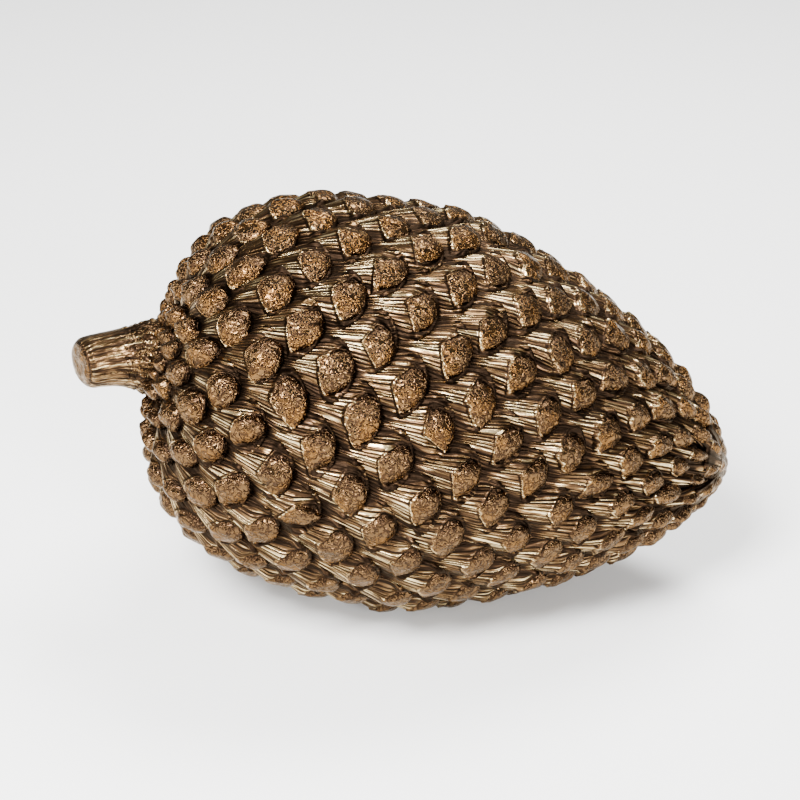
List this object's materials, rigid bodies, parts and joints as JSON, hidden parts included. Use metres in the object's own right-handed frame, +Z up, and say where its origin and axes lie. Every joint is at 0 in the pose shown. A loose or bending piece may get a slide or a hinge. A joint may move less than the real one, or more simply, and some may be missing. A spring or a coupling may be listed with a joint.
{
  "type": "cast pine cone ornament",
  "caption": "Large pine cone cast as an antique bronze ornament, lying on its side: staggered rings of grooved scales that end in blunt knobs, and a bent, cut stalk.",
  "frame": {"origin": "bottom centre of the bounding box, on the surface that the cone lies on", "axes": "+X level, from the stalk's end to the cone's tip; +Z up; the side that the picture shows faces -Y. The cone's own axis lies in the XZ plane and dips 12.1 degrees towards the tip."},
  "size_m": [0.236, 0.149, 0.149],
  "materials": {
    "antique_bronze": "satin"
  },
  "bodies": {
    "root": {"pine_cone": "antique_bronze"}
  },
  "joints": []
}
